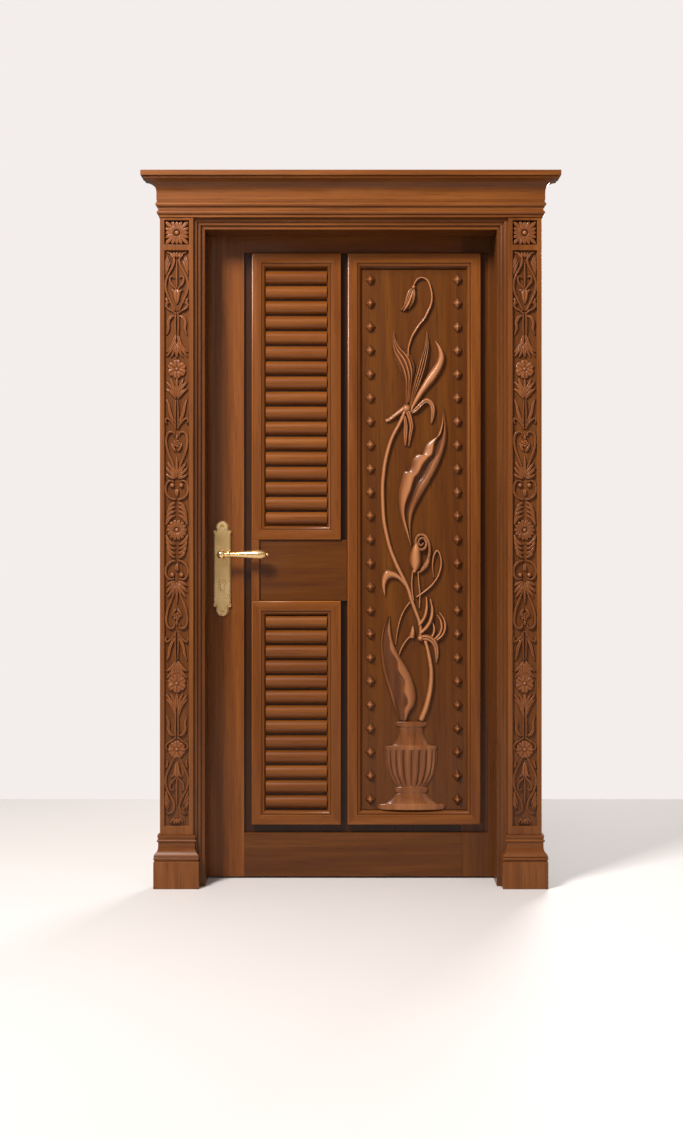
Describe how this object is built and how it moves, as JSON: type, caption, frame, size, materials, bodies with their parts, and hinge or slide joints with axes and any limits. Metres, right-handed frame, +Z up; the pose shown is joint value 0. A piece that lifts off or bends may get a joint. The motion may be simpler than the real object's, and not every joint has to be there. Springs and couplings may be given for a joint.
{
  "type": "carved wooden door with frame",
  "caption": "Single carved wooden door leaf with louvres, a flower relief panel and a lever lock, hung in a pilastered frame with a cornice.",
  "frame": {"origin": "middle of the doorway at the floor, in the front face of the wall", "axes": "+X to the right seen from the front, +Y into the wall, +Z up"},
  "size_m": [1.328, 0.3015, 2.278],
  "materials": {
    "lacquered_wood": "glossy lacquer, mid brown with straight grain",
    "panel_wood": "glossy lacquer, darker orange brown",
    "carved_wood": "glossy lacquer over carving, darker in the hollows",
    "brass": "polished brass with darker hollows",
    "steel": "brushed steel"
  },
  "bodies": {
    "frame": {"left_jamb": "lacquered_wood", "right_jamb": "lacquered_wood", "head_jamb": "lacquered_wood", "left_architrave": "lacquered_wood", "right_architrave": "lacquered_wood", "head_architrave": "lacquered_wood", "left_pilaster": "lacquered_wood", "right_pilaster": "lacquered_wood", "left_scrollwork": "carved_wood", "right_scrollwork": "carved_wood", "left_rosette": "carved_wood", "right_rosette": "carved_wood", "left_base": "lacquered_wood", "right_base": "lacquered_wood", "left_plinth": "lacquered_wood", "right_plinth": "lacquered_wood", "bed_mould": "lacquered_wood", "crown": "lacquered_wood", "strike_plate": "steel", "frame_screws": "steel", "hinge_frame_plates": "brass", "hinge_pins": "brass"},
    "leaf": {"lock_stile": "lacquered_wood", "hinge_stile": "lacquered_wood", "top_rail": "lacquered_wood", "bottom_rail": "lacquered_wood", "field_panel": "panel_wood", "louvre_outer_stile": "lacquered_wood", "upper_inner_stile": "lacquered_wood", "lower_inner_stile": "lacquered_wood", "upper_louvre_top_rail": "lacquered_wood", "upper_louvre_bottom_rail": "lacquered_wood", "lower_louvre_top_rail": "lacquered_wood", "lower_louvre_bottom_rail": "lacquered_wood", "upper_slats": "lacquered_wood", "lower_slats": "lacquered_wood", "lock_panel": "lacquered_wood", "flower_left_stile": "lacquered_wood", "flower_right_stile": "lacquered_wood", "flower_top_rail": "lacquered_wood", "flower_bottom_rail": "lacquered_wood", "flower_ground": "panel_wood", "flower_carving": "carved_wood", "diamond_studs": "carved_wood", "hinge_leaf_plates": "brass", "leaf_screws": "steel", "lock_case": "steel", "lock_forend": "brass", "cylinder_body": "brass", "outside_plate": "brass", "inside_plate": "brass", "plate_bolts": "steel"},
    "lever": {"outside_lever": "brass", "inside_lever": "brass", "spindle": "steel", "follower": "steel"},
    "latch": {"latch_bolt": "brass"},
    "deadbolt": {"deadbolt": "brass"},
    "plug": {"cylinder_plug": "brass"}
  },
  "joints": [
    {"name": "leaf_swing", "type": "hinge", "parent": "frame", "child": "leaf", "pos_m": [0.4825, 0.157, 1.059], "axis": [0, 0, -1], "range_deg": [0, 110]},
    {"name": "lever_turn", "type": "hinge", "parent": "leaf", "child": "lever", "pos_m": [-0.421, 0.128, 1.062], "axis": [0, 1, 0], "range_deg": [0, 40], "stiffness_Nm_per_rad": 1.5, "springref_deg": -34.38},
    {"name": "latch_slide", "type": "slide", "parent": "leaf", "child": "latch", "axis": [1, 0, 0], "range_m": [0, 0.012]},
    {"name": "plug_turn", "type": "hinge", "parent": "leaf", "child": "plug", "pos_m": [-0.421, 0.128, 0.97], "axis": [0, 1, 0], "range_deg": [0, 360]},
    {"name": "deadbolt_slide", "type": "slide", "parent": "leaf", "child": "deadbolt", "axis": [-1, 0, 0], "range_m": [0, 0.02]}
  ],
  "couplings": [
    {"joint": "latch_slide", "follows": "lever_turn", "m_per_rad": 0.01718},
    {"joint": "plug_turn", "follows": "deadbolt_slide", "rad_per_m": 314.1}
  ]
}
